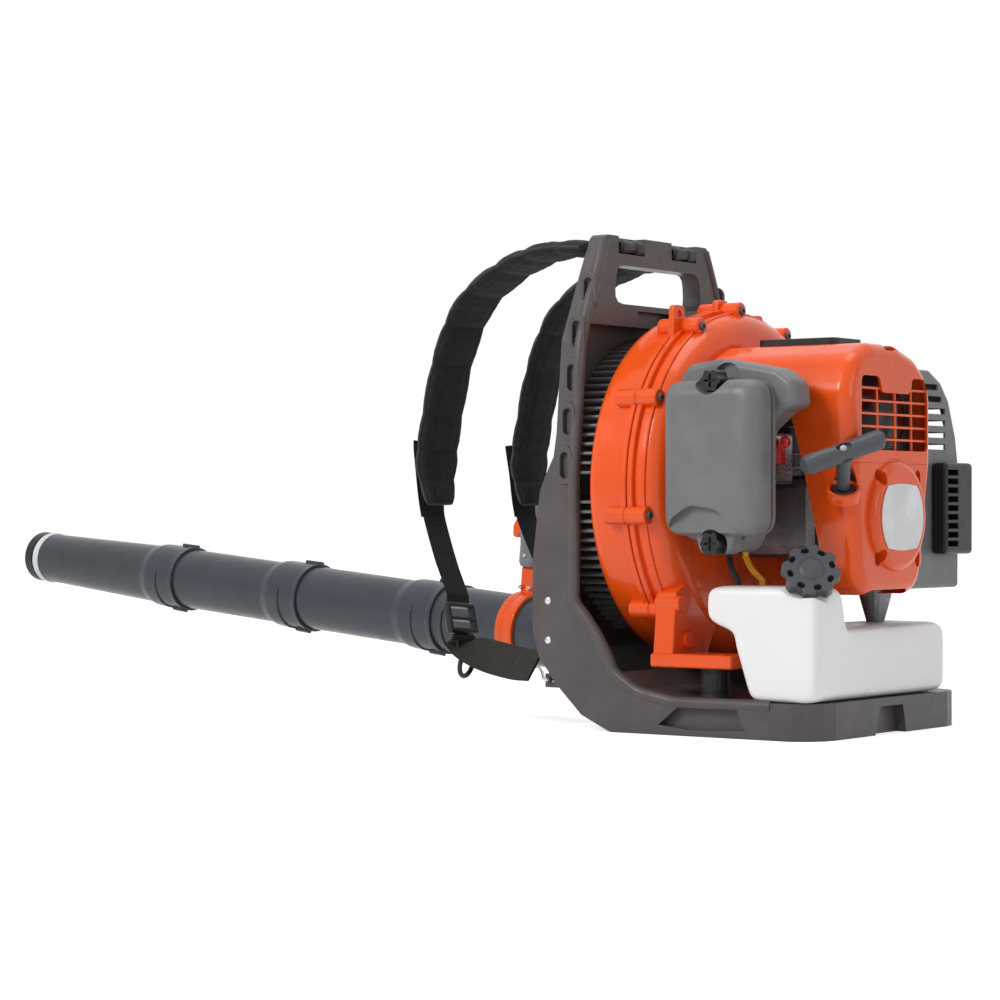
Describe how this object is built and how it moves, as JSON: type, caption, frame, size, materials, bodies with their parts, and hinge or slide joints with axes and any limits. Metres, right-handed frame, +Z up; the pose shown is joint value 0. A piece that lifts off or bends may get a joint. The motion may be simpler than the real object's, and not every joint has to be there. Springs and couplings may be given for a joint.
{
  "type": "backpack leaf blower",
  "caption": "Petrol backpack leaf blower: padded L-shaped carrying frame, round fan housing with engine and tank behind it, and a jointed air tube with a pistol grip.",
  "frame": {"origin": "on the floor under the middle of the frame's base", "axes": "+Z up, +Y the way the wearer faces, +X the wearer's right, the side the air tube is on"},
  "size_m": [0.5272, 1.5438, 0.505],
  "materials": {
    "frame_plastic": "satin moulded plastic, fine grain",
    "black_plastic": "satin black plastic",
    "orange_plastic": "glossy orange moulded plastic",
    "cover_grey": "satin mid-grey plastic",
    "tube_slate": "satin slate plastic",
    "rubber": "dull black rubber",
    "case_metal": "dark cast aluminium",
    "bright_metal": "machined aluminium",
    "steel": "bright steel",
    "muffler_metal": "heat-darkened steel",
    "tank_poly": "milky translucent plastic",
    "badge_white": "bare white plate",
    "cap_grey": "satin grey plastic",
    "grip_grey": "satin grey plastic",
    "red_plastic": "glossy red plastic",
    "line_yellow": "translucent amber hose",
    "filter_paper": "pleated paper",
    "pad_fabric": "quilted black fabric",
    "webbing": "woven black webbing",
    "webbing_olive": "woven olive-black webbing",
    "rope": "braided cord"
  },
  "bodies": {
    "machine": {"frame": "frame_plastic", "strap_toggle_left": "black_plastic", "strap_toggle_right": "black_plastic", "av_mount_left": "rubber", "av_mount_right": "rubber", "fan_housing_front": "orange_plastic", "fan_housing_rear": "orange_plastic", "intake_guard": "black_plastic", "crankcase": "case_metal", "cylinder": "case_metal", "spark_plug": "black_plastic", "carburettor": "bright_metal", "filter_base": "cover_grey", "filter_element": "filter_paper", "muffler": "muffler_metal", "muffler_cover": "cover_grey", "heat_guard": "black_plastic", "engine_cowl": "orange_plastic", "cowl_cap": "black_plastic", "starter_housing": "orange_plastic", "starter_badge": "badge_white", "rope_guide": "black_plastic", "fuel_tank": "tank_poly", "fuel_line": "rubber", "return_line": "line_yellow", "outlet_elbow": "tube_slate", "hose_clamp_elbow": "steel", "shoulder_pad_left": "pad_fabric", "strap_webbing_left": "webbing", "strap_buckle_left": "black_plastic", "lower_strap_left": "webbing_olive", "strap_hook_left": "steel", "shoulder_pad_right": "pad_fabric", "strap_webbing_right": "webbing", "strap_buckle_right": "black_plastic", "lower_strap_right": "webbing_olive", "strap_hook_right": "steel"},
    "crank": {"crankshaft": "steel", "impeller": "black_plastic", "flywheel": "bright_metal"},
    "piston": {"piston": "bright_metal"},
    "starter_pulley": {"starter_pulley": "black_plastic"},
    "starter_pull": {"starter_grip": "cap_grey", "starter_rope": "rope"},
    "filter_cover": {"filter_cover": "cover_grey"},
    "knob_top": {"filter_knob_top": "black_plastic"},
    "knob_bottom": {"filter_knob_bottom": "black_plastic"},
    "choke": {"choke_lever": "red_plastic"},
    "fuel_cap": {"fuel_cap": "cap_grey"},
    "hose": {"flex_hose": "rubber", "cable_ring": "black_plastic"},
    "tube": {"hose_clamp_tube": "steel", "control_tube": "tube_slate", "tube_1": "tube_slate", "tube_2": "tube_slate", "nozzle": "tube_slate"},
    "handle": {"handle_clamp": "orange_plastic", "control_grip": "grip_grey"},
    "trigger": {"throttle_trigger": "orange_plastic"},
    "stop_switch": {"stop_switch": "red_plastic"}
  },
  "joints": [
    {"name": "crank_spin", "type": "hinge", "parent": "machine", "child": "crank", "pos_m": [0.004, 0, 0.216], "axis": [0, 1, 0], "continuous": true},
    {"name": "piston_slide", "type": "slide", "parent": "machine", "child": "piston", "axis": [0, 0, 1], "range_m": [0, 0.034]},
    {"name": "starter_pull", "type": "slide", "parent": "machine", "child": "starter_pull", "axis": [-0.4501, -0.2501, 0.8572], "range_m": [0, 0.5], "stiffness_N_per_m": 20, "springref_m": -0.3, "deforming": ["starter_rope"]},
    {"name": "pulley_turn", "type": "hinge", "parent": "machine", "child": "starter_pulley", "pos_m": [0.004, -0.148, 0.216], "axis": [0, -1, 0], "range_deg": [-5, 1307.2]},
    {"name": "filter_cover_lift", "type": "slide", "parent": "machine", "child": "filter_cover", "axis": [-1, 0, 0], "range_m": [0, 0.1]},
    {"name": "knob_top_turn", "type": "hinge", "parent": "filter_cover", "child": "knob_top", "pos_m": [-0.14, -0.063, 0.347], "axis": [-1, 0, 0], "continuous": true},
    {"name": "knob_bottom_turn", "type": "hinge", "parent": "filter_cover", "child": "knob_bottom", "pos_m": [-0.14, -0.063, 0.189], "axis": [-1, 0, 0], "continuous": true},
    {"name": "choke_turn", "type": "hinge", "parent": "machine", "child": "choke", "pos_m": [-0.082, -0.088, 0.273], "axis": [0, 1, 0], "range_deg": [-30, 30]},
    {"name": "fuel_cap_turn", "type": "hinge", "parent": "machine", "child": "fuel_cap", "pos_m": [-0.133, -0.153, 0.163], "axis": [-0.6786, -0.499, 0.5389], "continuous": true},
    {"name": "tube_yaw", "type": "hinge", "parent": "machine", "child": "hose", "pos_m": [0.21463, 0.20664, 0.05863], "axis": [0, 0, 1], "range_deg": [-30, 5], "deforming": ["flex_hose"]},
    {"name": "tube_pitch", "type": "hinge", "parent": "hose", "child": "tube", "pos_m": [0.21868, 0.25228, 0.06268], "axis": [1, 0, 0], "range_deg": [-20, 30], "deforming": ["flex_hose"]},
    {"name": "handle_slide", "type": "slide", "parent": "tube", "child": "handle", "axis": [0.0879, 0.9922, 0.0879], "range_m": [-0.08, 0.08]},
    {"name": "trigger_squeeze", "type": "hinge", "parent": "handle", "child": "trigger", "pos_m": [0.23643, 0.45265, 0.21559], "axis": [-0.9961, 0.0883, 0], "range_deg": [0, 12], "stiffness_Nm_per_rad": 0.2, "springref_deg": -8.59},
    {"name": "stop_press", "type": "slide", "parent": "handle", "child": "stop_switch", "axis": [0.0879, 0.9922, 0.0879], "range_m": [0, 0.003], "stiffness_N_per_m": 200, "springref_m": -0.003}
  ],
  "couplings": [
    {"joint": "pulley_turn", "follows": "starter_pull", "rad_per_m": 45.455}
  ]
}
